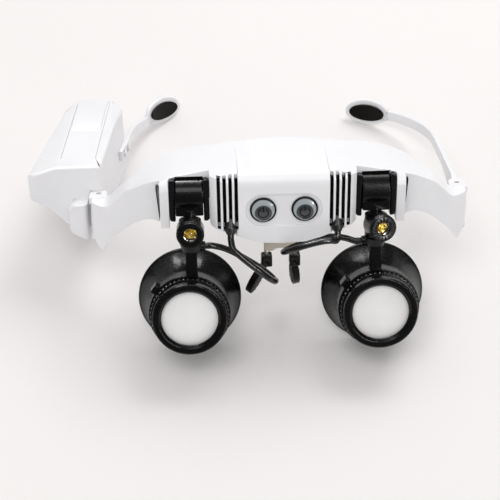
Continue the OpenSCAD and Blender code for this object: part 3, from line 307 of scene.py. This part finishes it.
finish_of = {
    "white_plastic": white_plastic,
    "black_plastic": black_plastic,
    "black_rubber": black_rubber,
    "pad_rubber": pad_rubber,
    "button_grey": black_plastic,
    "steel": steel,
    "satin_steel": satin_steel,
    "board_green": board_green,
    "lamp_reflector": lamp_reflector,
    "led_clear": led_clear,
    "led_phosphor": led_phosphor,
    "lens_glass": lens_glass,
    "cell_jacket": cell_jacket,
}
for name, node in frame["nodes"].items():
    node.data.materials.clear()
    node.data.materials.append(finish_of[slot_of[name]])


# How pieces are made
SHARP = 40.0
SHARP_UNROUNDED = 30.0
FLAT = math.radians(0.4)
MERGE = 0.001 * MM
ROUND_SHARES = (1.0, 0.7, 0.45, 0.25, 0.0)
MAY_GROW = 0.02 * MM
VOLUME_CHANGE = 0.06


def finished(name, shape, materials, body, nodes=(), sharp_degrees=SHARP, even=True):
    """Makes a bmesh a piece that rides on a body and may stand for CAD nodes."""
    mesh = bpy.data.meshes.new(name)
    shape.to_mesh(mesh)
    shape.free()
    piece = bpy.data.objects.new(name, mesh)
    bpy.context.scene.collection.objects.link(piece)
    for material in materials:
        mesh.materials.append(material)
    mesh.shade_smooth()
    mesh.set_sharp_from_angle(angle=math.radians(sharp_degrees))
    if even:
        normals = piece.modifiers.new("even_normals", "WEIGHTED_NORMAL")
        normals.keep_sharp = True
    if body:
        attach(piece, body)
    if nodes:
        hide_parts(*nodes)
    return piece


def rounded(shape, width, segments, angle=ROUNDING, chosen=lambda edge: True):
    """Rounds the chosen edges that are sharper than an angle."""
    edges = [e for e in shape.edges if len(e.link_faces) == 2 and e.calc_face_angle(0) > angle and chosen(e)]
    bmesh.ops.bevel(shape, geom=edges, offset=width, offset_type="OFFSET", segments=segments, profile=0.5,
                    affect="EDGES", material=-1)


def extent(shape):
    """Furthest reach of a shape both ways along each axis."""
    corners = [v.co for v in shape.verts]
    return [max(way * c[k] for c in corners) for k in range(3) for way in (1, -1)]


def merged_copy(node):
    """A CAD node's mesh with its points merged and its flat faces split into few triangles."""
    shape = bmesh.new()
    shape.from_mesh(frame["nodes"][node].data)
    bmesh.ops.remove_doubles(shape, verts=shape.verts, dist=MERGE)
    bmesh.ops.dissolve_limit(shape, angle_limit=FLAT, verts=shape.verts, edges=shape.edges)
    bmesh.ops.triangulate(shape, faces=[face for face in shape.faces if len(face.verts) > 4])
    return shape


def rounded_copy(node, width, segments=3, chosen=lambda edge: True, sharp_degrees=SHARP):
    """A CAD node with its edges rounded. An edge round that doesn't fit is made smaller."""
    whole = merged_copy(node)
    size, volume = extent(whole), whole.calc_volume()
    for share in ROUND_SHARES:
        shape = whole.copy()
        if share:
            rounded(shape, width * share * MM, segments, chosen=chosen)
        grown = max(new - old for new, old in zip(extent(shape), size))
        if grown < MAY_GROW and abs(shape.calc_volume() / volume - 1) < VOLUME_CHANGE:
            break
        shape.free()
    whole.free()
    return finished(node + "_finished", shape, [finish_of[slot_of[node]]], body_of[node],
                    [node], sharp_degrees if share else SHARP_UNROUNDED)


def spun(profile, steps=96):
    """A closed profile of (radius, along) points, spun about the local Y axis."""
    shape = bmesh.new()
    points = [shape.verts.new((radius, along, 0)) for radius, along in profile]
    lines = [shape.edges.new((a, b)) for a, b in zip(points, points[1:] + points[:1])]
    bmesh.ops.spin(shape, geom=points + lines, cent=(0, 0, 0), axis=(0, 1, 0), angle=2 * math.pi,
                   steps=steps, use_merge=True, use_duplicate=False)
    bmesh.ops.remove_doubles(shape, verts=shape.verts, dist=0.001)
    bmesh.ops.recalc_face_normals(shape, faces=shape.faces)
    return shape


# Lamp leads: each from its arm's relief, through its crossing loop, to its grommet
LEAD_D = 2.4
LEAD_START = (0, 1.2, 2.4)
LEAD_END = (1.6, 0.8, 0)
GROMMET_END = (19.4, -6.37181, -11.8353)
GROMMET_TILT = math.radians(32)
RELIEF = (28.7, -1.51508, -18.2853)
LEAD_ROUTES = {
    "right": [
        (-23, -0.6, -19.6), (-19.5, 0.2, -21.6), (-16, 0.6, -24), (-12.4, 0.8, -26.6), (-9, 0.6, -29),
        (-6, -0.4, -31.1), (-4, -2.4, -32.2), (-3.2, -5, -32), (-3.8, -7.8, -30.6), (-5.6, -9.8, -28.4),
        (-8.4, -10.6, -25.6), (-11.4, -10.8, -22.8), (-14.4, -10.8, -20), (-17, -10.4, -17.6),
        (-18.8, -9.6, -15.8),
    ],
    "left": [
        (23.4, -1, -17.4), (20.4, -0.4, -17), (17.4, 0, -17), (14.4, 0.2, -17.4), (11.4, 0.2, -18.2),
        (8, 0, -19.2), (4.6, -0.4, -20.2), (1.8, -1.6, -20.8), (0.2, -3.8, -20.6), (-0.2, -6.4, -19.4),
        (1, -8.8, -17.8), (3.6, -10.4, -16.2), (7, -11, -14.8), (10.4, -11.1, -13.8), (13.8, -10.8, -13.3),
        (16.6, -10.2, -13.4), (18.6, -9.2, -14),
    ],
}


def curved_line(points, steps):
    """A smooth line through the points, as the leads' solids follow."""
    line = []
    for i in range(len(points) - 1):
        a, b = points[max(i - 1, 0)], points[i]
        c, d = points[i + 1], points[min(i + 2, len(points) - 1)]
        for k in range(steps):
            t = k / steps
            line.append(0.5 * (2 * b + (c - a) * t + (2 * a - 5 * b + 4 * c - d) * t * t
                               + (3 * b - a - 3 * c + d) * t ** 3))
    return line + [points[-1]]


def lamp_lead(side):
    """A lead as a tube along its route. It follows its arm near the arm's end."""
    s = 1 if side == "left" else -1
    start = [Vector((s * (RELIEF[0] - d), RELIEF[1], RELIEF[2])) for d in LEAD_START]
    end = [Vector((s * GROMMET_END[0], GROMMET_END[1] - d * math.sin(GROMMET_TILT),
                   GROMMET_END[2] - d * math.cos(GROMMET_TILT))) for d in LEAD_END]
    points = start + [Vector(p) for p in LEAD_ROUTES[side]] + end
    line = [WORN @ p for p in curved_line(points, 5)]
    curve = bpy.data.curves.new("lead_line", "CURVE")
    curve.dimensions = "3D"
    curve.bevel_depth = LEAD_D / 2 * MM
    curve.bevel_resolution = 4
    curve.use_fill_caps = True
    spline = curve.splines.new("POLY")
    spline.points.add(len(line) - 1)
    for point, at in zip(spline.points, line):
        point.co = (*at, 1)
    guide = bpy.data.objects.new("lead_guide", curve)
    bpy.context.scene.collection.objects.link(guide)
    bpy.context.view_layer.update()
    tube = bpy.data.meshes.new_from_object(guide)
    bpy.data.objects.remove(guide)
    shape = bmesh.new()
    shape.from_mesh(tube)
    bmesh.ops.remove_doubles(shape, verts=shape.verts, dist=MERGE)
    bmesh.ops.recalc_face_normals(shape, faces=shape.faces)
    lead = finished(f"lead_{side}", shape, [lead_jacket], None, [f"lamp_lead_{side}"],
                    60.0, even=False)
    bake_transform(lead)
    return lead


for side in ("left", "right"):
    lamp_lead(side)


# White frame. The side walls of the slots and of the slits beside the end plates get painted shade: a near-black
# where the white plastic lies in shade
SLOT_X = (17.1, 19.2, 21.3, 23.4)
SLOT_HALF = 0.62
SLOT_TO_Y = -2.1
SLOT_Z = (-10.2, 13.8)
SLIT_X = (44.6, 46.6)
SLIT_TO_Y = 7.1
SLIT_TO_Z = 5.6
WALL_SLANT = 0.35
SHADE_SCREEN_AT = (20.2, -3.2, 0.4)
SHADE_SCREEN_SIZE = (8.0, 0.3, 16.4)


def painted_shade_face(centre, normal):
    """Tells whether a face of the frame is a side wall of a slot or a slit, which is painted near-black as painted
    shade.
    """
    x, y, z = abs(centre.x), centre.y, centre.z
    if abs(normal.y) > WALL_SLANT:
        return False
    in_slot = any(abs(x - slot) <= SLOT_HALF for slot in SLOT_X)
    if in_slot and y < SLOT_TO_Y and SLOT_Z[0] < z < SLOT_Z[1]:
        return True
    return SLIT_X[0] < x < SLIT_X[1] and y < SLIT_TO_Y and z < SLIT_TO_Z


shell = rounded_copy("frame_shell", 0.18)
# The slot and slit walls get the near-black as painted shade on white plastic
shell.data.materials.append(painted_shade_black)
to_worn = WORN.inverted()
for face in shell.data.polygons:
    if painted_shade_face(to_worn @ face.center, (to_worn.to_3x3() @ face.normal).normalized()):
        face.material_index = 1

# Near-black screens behind the slots, as painted shade, so that nothing inside the housing shows
for s, side in ((1, "left"), (-1, "right")):
    screen = bmesh.new()
    bmesh.ops.create_cube(screen, size=1, matrix=Matrix.Translation((s * SHADE_SCREEN_AT[0], *SHADE_SCREEN_AT[1:]))
                          @ Matrix.Diagonal((*SHADE_SCREEN_SIZE, 1)))
    rounded(screen, 0.1, 1)
    screen.transform(WORN)
    finished(f"slot_shade_screen_{side}", screen, [painted_shade_black], "frame")

# Every other CAD part that stays as it is gets rounded edges, each with its own width in millimetres
for node, width in (
    ("rear_cover", 0.3), ("cover_screws", 0.12), ("button_bezels", 0.15), ("wire_grommets", 0.3),
    ("nose_bracket", 0.2), ("nose_bracket_screws", 0.15), ("nose_clips", 0.3), ("block_screws", 0.12),
    ("hinge_block_left", 0.45), ("hinge_block_right", 0.45), ("flip_pin_left", 0.2), ("flip_pin_right", 0.2),
    ("arm_left", 0.35), ("arm_right", 0.35), ("lens_latch_left", 0.35), ("lens_latch_right", 0.35),
    ("lamp_shell_left", 0.3), ("lamp_shell_right", 0.3), ("lamp_bezel_left", 0.2), ("lamp_bezel_right", 0.2),
    ("eyecup_left", 0.3), ("eyecup_right", 0.3), ("nose_pad_left", 0.3), ("nose_pad_right", 0.3),
    ("temple_left", 0.45), ("temple_right", 0.45), ("temple_pad_left", 0.35), ("temple_pad_right", 0.35),
    ("temple_pin_left", 0.3), ("temple_pin_right", 0.3), ("battery_door", 0.1), ("temple_rivets", 0.3),
):
    rounded_copy(node, width)

# The pads on the temples are a deeper black than the eyecups
for side in ("left", "right"):
    bpy.data.objects[f"temple_pad_{side}_finished"].data.materials[0] = pad_rubber


# Battery case: its outer edges are well rounded, except along the door's grooves
CASE_ROUND = 1.0
CASE_SEGMENTS = 4
CASE_SHARP = 24.0
DOOR_CLEARANCE = 1.9
SHORT_EDGE = 5
door_faces = BVHTree.FromBMesh(merged_copy("battery_door"))


def outer_edge(edge):
    if edge.calc_face_angle_signed(0) < 0 or edge.calc_length() < SHORT_EDGE * MM:
        return False
    a, b = (v.co for v in edge.verts)
    return all(door_faces.find_nearest(p)[3] > DOOR_CLEARANCE * MM for p in (a, (a + b) / 2, b))


rounded_copy("battery_case", CASE_ROUND, CASE_SEGMENTS, outer_edge, CASE_SHARP)

for node in ("front_lens_left", "front_lens_right", "rear_lens_left", "rear_lens_right"):
    rounded_copy(node, 0.1, 1)


# Loupes: front ring with an inner chamfer, and a barrel with a row of knobs to turn it by
FRONT_RING = [(10.5, 0.95), (11.35, 0.12), (11.7, 0), (13.4, 0), (13.9, 0.5), (13.9, 3.78), (13.02, 3.78),
              (13.02, 1.58), (10.5, 1.58)]
BARREL = [(11.52, 1.6), (13.0, 1.6), (13.0, 3.8), (14.3, 3.8), (14.3, 5.7), (13.45, 5.7), (13.45, 12.3),
          (12.2, 12.3), (12.2, 15.4), (8.62, 15.4), (8.62, 11), (7.6, 11), (7.6, 9.5), (10.3, 6.4),
          (10.3, 4.4), (11.52, 4.4)]
KNOBS = 52
KNOB_R = 14.22
KNOB_Y = 4.75
KNOB_SIZE = (0.62, 0.9, 0.5)


def front_ring(side):
    ring = spun(FRONT_RING)
    rounded(ring, 0.12, 2)
    ring.transform(on_loupe(side))
    finished(f"front_ring_{side}_finished", ring, [black_plastic], f"loupe_{side}",
             [f"front_ring_{side}"])


def barrel(side):
    body = spun(BARREL)
    rounded(body, 0.15, 2)
    for face in body.faces:
        face.material_index = 0
    for i in range(KNOBS):
        angle = 2 * math.pi * i / KNOBS
        turn = Matrix.Rotation(angle, 4, "Y") @ Matrix.Translation((0, KNOB_Y, KNOB_R))
        knob = bmesh.ops.create_uvsphere(body, u_segments=8, v_segments=6, radius=1,
                                         matrix=turn @ Matrix.Diagonal((*KNOB_SIZE, 1)))
        for face in {f for v in knob["verts"] for f in v.link_faces}:
            face.material_index = 1
    body.transform(on_loupe(side))
    finished(f"barrel_{side}_finished", body, [black_plastic, knob_black], f"loupe_{side}",
             [f"lens_barrel_{side}"])


for side in ("left", "right"):
    front_ring(side)
    barrel(side)


# Lamps: a die and a bright bowl under the clear dome; the bowl's gold patches are painted reflection of the die
DIE_STEPS = ((1.75, 1.45, 0.5, -4.9), (1.3, 0.8, 0.55, -5.4))
BOWL = [(1.3, -4.9), (2.3, -6.0), (2.34, -6.0), (2.34, -4.6), (1.3, -4.6)]
BOWL_FACETS = 9
BOWL_SHARP = 15


def lamp_inside(side):
    die = bmesh.new()
    for wide, narrow, depth, at in DIE_STEPS:
        bmesh.ops.create_cone(die, cap_ends=True, segments=4, radius1=wide, radius2=narrow, depth=depth,
                              matrix=Matrix.Translation((0, at, 0)) @ Matrix.Rotation(math.pi / 2, 4, "X"))
    rounded(die, 0.06, 2)
    die.transform(on_lamp(side))
    finished(f"lamp_die_{side}", die, [led_phosphor], f"lamp_{side}")
    bowl = spun(BOWL, BOWL_FACETS)
    bowl.transform(on_lamp(side))
    finished(f"reflection_painted_bowl_{side}", bowl, [reflection_painted_bowl], f"lamp_{side}",
             sharp_degrees=BOWL_SHARP)


for side in ("left", "right"):
    lamp_inside(side)
    rounded_copy(f"led_{side}", 0.1, 2)
    rounded_copy(f"led_holder_{side}", 0.1, 1)


# Buttons: a dome with a round dish, and the power sign in it
BUTTON_AT = {"left": (7.5, 0, -2.8), "right": (-7.5, 0, -2.8)}
CAP_R = 4.15
CAP_RINGS = 26
CAP_STEPS = 64
CAP_BACK_Y = -3.2
DOME_R = 12
DOME_TOP = -6.5
DISH_AT = (0, -0.85)
DISH_R = 3.25
DISH_EDGE = 0.5
DISH_DEPTH = 0.3
SIGN_R = 1.8
SIGN_WIRE = 0.24
SIGN_GAP = math.radians(56)
SIGN_PROUD = 0.02
BAR = (0.46, 0.4, 2.0)
BAR_Z = 1.5


def dish(x, z):
    """How deep the dish lies under the dome."""
    distance = math.hypot(x - DISH_AT[0], z - DISH_AT[1])
    share = min(max((DISH_R - distance) / DISH_EDGE, 0), 1)
    return DISH_DEPTH * share * share * (3 - 2 * share)


def cap_surface(x, z):
    """Where the cap's front face is, along Y."""
    radius = math.hypot(x, z)
    return DOME_TOP + DOME_R - math.sqrt(DOME_R ** 2 - radius ** 2) + dish(x, z)


def button_painted_highlight(side):
    """Grey plastic, darker in the dish. The lighter grey crescent around the dish, above it, is partly the cap's
    own grey and partly painted highlight of the dome.
    """
    finish = Finish(f"button_grey_{side}")
    mapping = finish.nodes.new("ShaderNodeMapping")
    mapping.vector_type = "TEXTURE"
    at = Vector(BUTTON_AT[side]) + Vector((DISH_AT[0], cap_surface(*DISH_AT), DISH_AT[1]))
    mapping.inputs["Location"].default_value = WORN @ at
    finish.join(finish.coords, mapping.inputs["Vector"])
    reach = finish.nodes.new("ShaderNodeVectorMath")
    reach.operation = "LENGTH"
    finish.join(mapping.outputs["Vector"], reach.inputs[0])
    edge = finish.ramp(reach.outputs["Value"], 0.0, 1.0, (DISH_R - 0.3) * MM, (DISH_R + 0.05) * MM)
    grain = finish.noise(0.4, 4.0)
    # Lighter bluish grey outside the dish: partly the cap's grey, partly painted highlight of the dome
    finish.colour(finish.mix(edge, (0.030, 0.036, 0.038), (0.36, 0.40, 0.42)))
    finish.roughness(finish.ramp(grain, 0.16, 0.28))
    finish.bump(grain, 0.01)
    finish.set(Coat_Weight=0.5, Coat_Roughness=0.08)
    return finish.material


def button(side):
    cap = bmesh.new()
    points = [cap.verts.new((CAP_R * i / CAP_RINGS, 0, 0)) for i in range(CAP_RINGS + 1)]
    lines = [cap.edges.new((a, b)) for a, b in zip(points, points[1:])]
    bmesh.ops.spin(cap, geom=points + lines, cent=(0, 0, 0), axis=(0, 1, 0), angle=2 * math.pi,
                   steps=CAP_STEPS, use_merge=True, use_duplicate=False)
    bmesh.ops.remove_doubles(cap, verts=cap.verts, dist=0.001)
    border = [e for e in cap.edges if len(e.link_faces) == 1]
    skirt = bmesh.ops.extrude_edge_only(cap, edges=border)["geom"]
    skirt_points = {v for v in skirt if isinstance(v, bmesh.types.BMVert)}
    for v in cap.verts:
        if v in skirt_points:
            v.co.y = CAP_BACK_Y
        else:
            v.co.y = cap_surface(v.co.x, v.co.z)
    bmesh.ops.contextual_create(cap, geom=[e for e in cap.edges if len(e.link_faces) == 1])
    bmesh.ops.recalc_face_normals(cap, faces=cap.faces)
    rounded(cap, 0.25, 3)
    at = WORN @ Matrix.Translation(BUTTON_AT[side])
    cap.transform(at)
    finished(f"button_{side}_finished", cap, [button_painted_highlight(side)], f"button_{side}",
             [f"button_cap_{side}"])

    sign = bmesh.new()
    start = (Matrix.Rotation(SIGN_GAP / 2, 4, "Y") @ Matrix.Translation((0, 0, SIGN_R))
             @ Matrix.Rotation(math.pi / 2, 4, "Y"))
    bmesh.ops.create_circle(sign, cap_ends=True, radius=SIGN_WIRE, segments=10, matrix=start)
    bmesh.ops.spin(sign, geom=sign.verts[:] + sign.edges[:] + sign.faces[:], cent=(0, 0, 0), axis=(0, 1, 0),
                   angle=2 * math.pi - SIGN_GAP, steps=36, use_merge=False, use_duplicate=False)
    bmesh.ops.create_cube(sign, size=1, matrix=Matrix.Translation((0, 0, BAR_Z)) @ Matrix.Diagonal((*BAR, 1)))
    bmesh.ops.recalc_face_normals(sign, faces=sign.faces)
    rounded(sign, 0.06, 2, math.radians(60))
    for v in sign.verts:
        x, z = v.co.x + DISH_AT[0], v.co.z + DISH_AT[1]
        v.co = (x, v.co.y + cap_surface(x, z) + SIGN_PROUD, z)
    sign.transform(at)
    finished(f"power_sign_{side}", sign, [black_plastic], f"button_{side}")


for side in ("left", "right"):
    button(side)


# Nose pads: cross ribs on each face
PAD_ROCK = {"left": (5.4, 14.6, -33.6), "right": (-5.4, 14.6, -33.6)}
PAD_TILT = {"left": -2, "right": 27}
PAD_YAW = {"left": 10, "right": -30}
PAD_LEAN = {"left": 36, "right": 0}
PAD_TOP = -3
PAD_LENGTH = 12.5
PAD_WIDTH = 7.4
PAD_T = 2.6
RIBS = 6
RIB_PITCH = 1.75
RIB_WIDTH = 0.9
RIB_HEIGHT = 0.5
RIB_SHORTER = 1.6


def pad_ribs(side):
    hang = (Matrix.Translation(PAD_ROCK[side]) @ Matrix.Rotation(math.radians(PAD_TILT[side]), 4, "Y")
            @ Matrix.Translation((0, 0, PAD_TOP)) @ Matrix.Rotation(math.radians(PAD_LEAN[side]), 4, "X")
            @ Matrix.Translation((0, 0, -PAD_LENGTH / 2)) @ Matrix.Rotation(math.radians(PAD_YAW[side]), 4, "Z")
            @ Matrix.Rotation(math.pi / 2, 4, "Y"))
    ribs = bmesh.new()
    for i in range(RIBS):
        along = (i - (RIBS - 1) / 2) * RIB_PITCH
        reach = PAD_WIDTH * math.sqrt(1 - (2 * along / PAD_LENGTH) ** 2) - RIB_SHORTER
        for face in (1, -1):
            bmesh.ops.create_cube(ribs, size=1, matrix=Matrix.Translation((along, 0, face * PAD_T / 2))
                                  @ Matrix.Diagonal((RIB_WIDTH, reach, RIB_HEIGHT, 1)))
    rounded(ribs, 0.2, 2)
    ribs.transform(WORN @ hang)
    finished(f"pad_ribs_{side}", ribs, [pad_rubber], f"nose_pad_{side}")


for side in ("left", "right"):
    pad_ribs(side)


# Floor, world and lamps
def floor_finish():
    finish = Finish("floor")
    mottle = finish.noise(160, 2.0)
    grain = finish.noise(2.5, 3.0)
    finish.colour(finish.mix(finish.ramp(mottle, 0.0, 1.0), (0.865, 0.846, 0.837), (0.88, 0.861, 0.852)))
    finish.roughness(finish.ramp(grain, 0.7, 0.9))
    finish.bump(grain, 0.05, 0.1)
    finish.set(Specular_IOR_Level=0.1)
    return finish.material


FLOOR_HALF = 4
ground = bmesh.new()
bmesh.ops.create_grid(ground, x_segments=2, y_segments=2, size=FLOOR_HALF)
mesh = bpy.data.meshes.new("floor")
ground.to_mesh(mesh)
ground.free()
floor = bpy.data.objects.new("floor", mesh)
mesh.materials.append(floor_finish())
bpy.context.scene.collection.objects.link(floor)

world = bpy.data.worlds.new("studio")
bpy.context.scene.world = world
world.use_nodes = True
nodes, links = world.node_tree.nodes, world.node_tree.links
light_sky = nodes["Background"]
shine_sky = nodes.new("ShaderNodeBackground")
seen_sky = nodes.new("ShaderNodeBackground")
for background, colour, strength in (
    (light_sky, (1.0, 0.99, 0.985), 0.62),
    (shine_sky, (1.0, 0.99, 0.985), 0.16),
    (seen_sky, (0.91, 0.895, 0.88), 1.0),
):
    background.inputs["Color"].default_value = (*colour, 1)
    background.inputs["Strength"].default_value = strength
rays = nodes.new("ShaderNodeLightPath")
unseen_sky = nodes.new("ShaderNodeMixShader")
links.new(rays.outputs["Is Glossy Ray"], unseen_sky.inputs["Fac"])
links.new(light_sky.outputs["Background"], unseen_sky.inputs[1])
links.new(shine_sky.outputs["Background"], unseen_sky.inputs[2])
sky = nodes.new("ShaderNodeMixShader")
links.new(rays.outputs["Is Camera Ray"], sky.inputs["Fac"])
links.new(unseen_sky.outputs["Shader"], sky.inputs[1])
links.new(seen_sky.outputs["Background"], sky.inputs[2])
links.new(sky.outputs["Shader"], nodes["World Output"].inputs["Surface"])


def studio_lamp(name, at, aim, size, watts, highlight_only=False):
    """An area lamp. One for highlights only doesn't light the plain surfaces."""
    light = bpy.data.lights.new(name, "AREA")
    light.shape = "RECTANGLE"
    light.size, light.size_y = size
    light.energy = watts
    lamp = bpy.data.objects.new(name, light)
    lamp.visible_diffuse = not highlight_only
    lamp.location = at
    lamp.rotation_mode = "QUATERNION"
    lamp.rotation_quaternion = (Vector(aim) - Vector(at)).to_track_quat("-Z", "Y")
    bpy.context.scene.collection.objects.link(lamp)


studio_lamp("key", (0.35, 0.45, 0.9), (0, -0.02, 0.03), (0.5, 0.5), 3.9)
studio_lamp("fill", (-0.15, -0.3, 0.9), (0, -0.02, 0.03), (0.5, 0.3), 1.9)
studio_lamp("strip_right", (0.30, -0.45, 0.45), (0, -0.03, 0.04), (0.05, 0.5), 3.0, True)
studio_lamp("strip_above", (-0.1, 0.25, 0.6), (0, -0.03, 0.04), (0.4, 0.06), 5.0, True)
studio_lamp("strip_back", (-0.05, 0.6, 0.5), (0, -0.03, 0.03), (0.7, 0.2), 7.0, True)

bpy.context.scene.view_settings.view_transform = "Standard"
